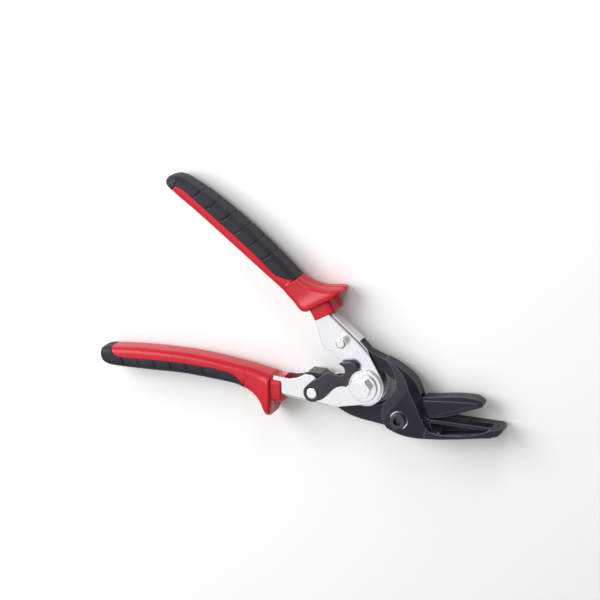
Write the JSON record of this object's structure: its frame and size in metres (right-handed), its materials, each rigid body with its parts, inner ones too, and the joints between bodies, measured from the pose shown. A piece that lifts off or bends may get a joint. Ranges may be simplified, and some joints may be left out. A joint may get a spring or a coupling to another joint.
{
  "type": "aviation snips",
  "caption": "Compound-leverage sheet cutters with a narrow blade that shears into a slotted lower jaw, spring-opened handles in two-part grips and a one-hand latch hook.",
  "frame": {"origin": "on the blade pivot axis, at the flat closed end of the blade pivot nut on which the tool lies", "axes": "+X along the cutting line of the lower jaw towards its nose, +Y across the open mouth towards the upper jaw, +Z along the pivot axes, up out of the near face"},
  "size_m": [0.259, 0.1443, 0.0243],
  "materials": {
    "blackened_steel": "satin black finish on a forging",
    "plated_steel": "bright zinc plating",
    "bolt_steel": "bright plating",
    "screw_steel": "black oxide",
    "spring_steel": "oiled spring wire",
    "latch_grey": "matt dark grey coating",
    "washer_plastic": "matt",
    "bumper_black": "glossy black",
    "red_plastic": "smooth red moulding",
    "black_rubber": "soft matt cover"
  },
  "bodies": {
    "lower_handle": {"lower_channel": "plated_steel", "lower_grip_core": "red_plastic", "lower_grip_cover": "black_rubber", "handle_pivot_bolt": "bolt_steel", "handle_pivot_washer": "bolt_steel", "handle_pivot_nut": "bolt_steel", "handle_pivot_sleeve": "plated_steel", "opening_spring": "spring_steel", "lower_link_rivet": "bolt_steel", "tail_spacers": "plated_steel", "latch_washer": "washer_plastic", "closing_bumper": "bumper_black"},
    "upper_handle": {"upper_channel": "plated_steel", "upper_grip_core": "red_plastic", "upper_grip_cover": "black_rubber", "upper_link_rivet": "bolt_steel"},
    "cutter_fork": {"lower_jaw_fork": "blackened_steel", "blade_pivot_bush": "plated_steel", "blade_pivot_washer": "bolt_steel", "blade_pivot_screw": "screw_steel", "blade_pivot_nut": "screw_steel"},
    "upper_jaw": {"upper_jaw_blade": "blackened_steel"},
    "latch": {"latch_lever": "latch_grey"}
  },
  "joints": [
    {"name": "handle_squeeze", "type": "hinge", "parent": "lower_handle", "child": "upper_handle", "pos_m": [-0.0224, 0.0174, 0.011], "axis": [0, 0, 1], "range_deg": [0, 30], "stiffness_Nm_per_rad": 0.5, "springref_deg": -17.19, "deforming": ["opening_spring"]},
    {"name": "fork_pivot", "type": "hinge", "parent": "upper_handle", "child": "cutter_fork", "pos_m": [-0.0368, 0.044, 0.011], "axis": [0, 0, 1], "range_deg": [-11.6, 0]},
    {"name": "upper_jaw_pivot", "type": "hinge", "parent": "lower_handle", "child": "upper_jaw", "pos_m": [-0.054, 0.0104, 0.011], "axis": [0, 0, 1], "range_deg": [0, 3.6]},
    {"name": "latch_swing", "type": "hinge", "parent": "lower_handle", "child": "latch", "pos_m": [-0.054, 0.0104, 0.019], "axis": [0, 0, 1], "range_deg": [0, 31]}
  ],
  "couplings": [
    {"joint": "fork_pivot", "follows": "handle_squeeze", "ratio": -0.3837},
    {"joint": "upper_jaw_pivot", "follows": "handle_squeeze", "ratio": 0.1175}
  ]
}
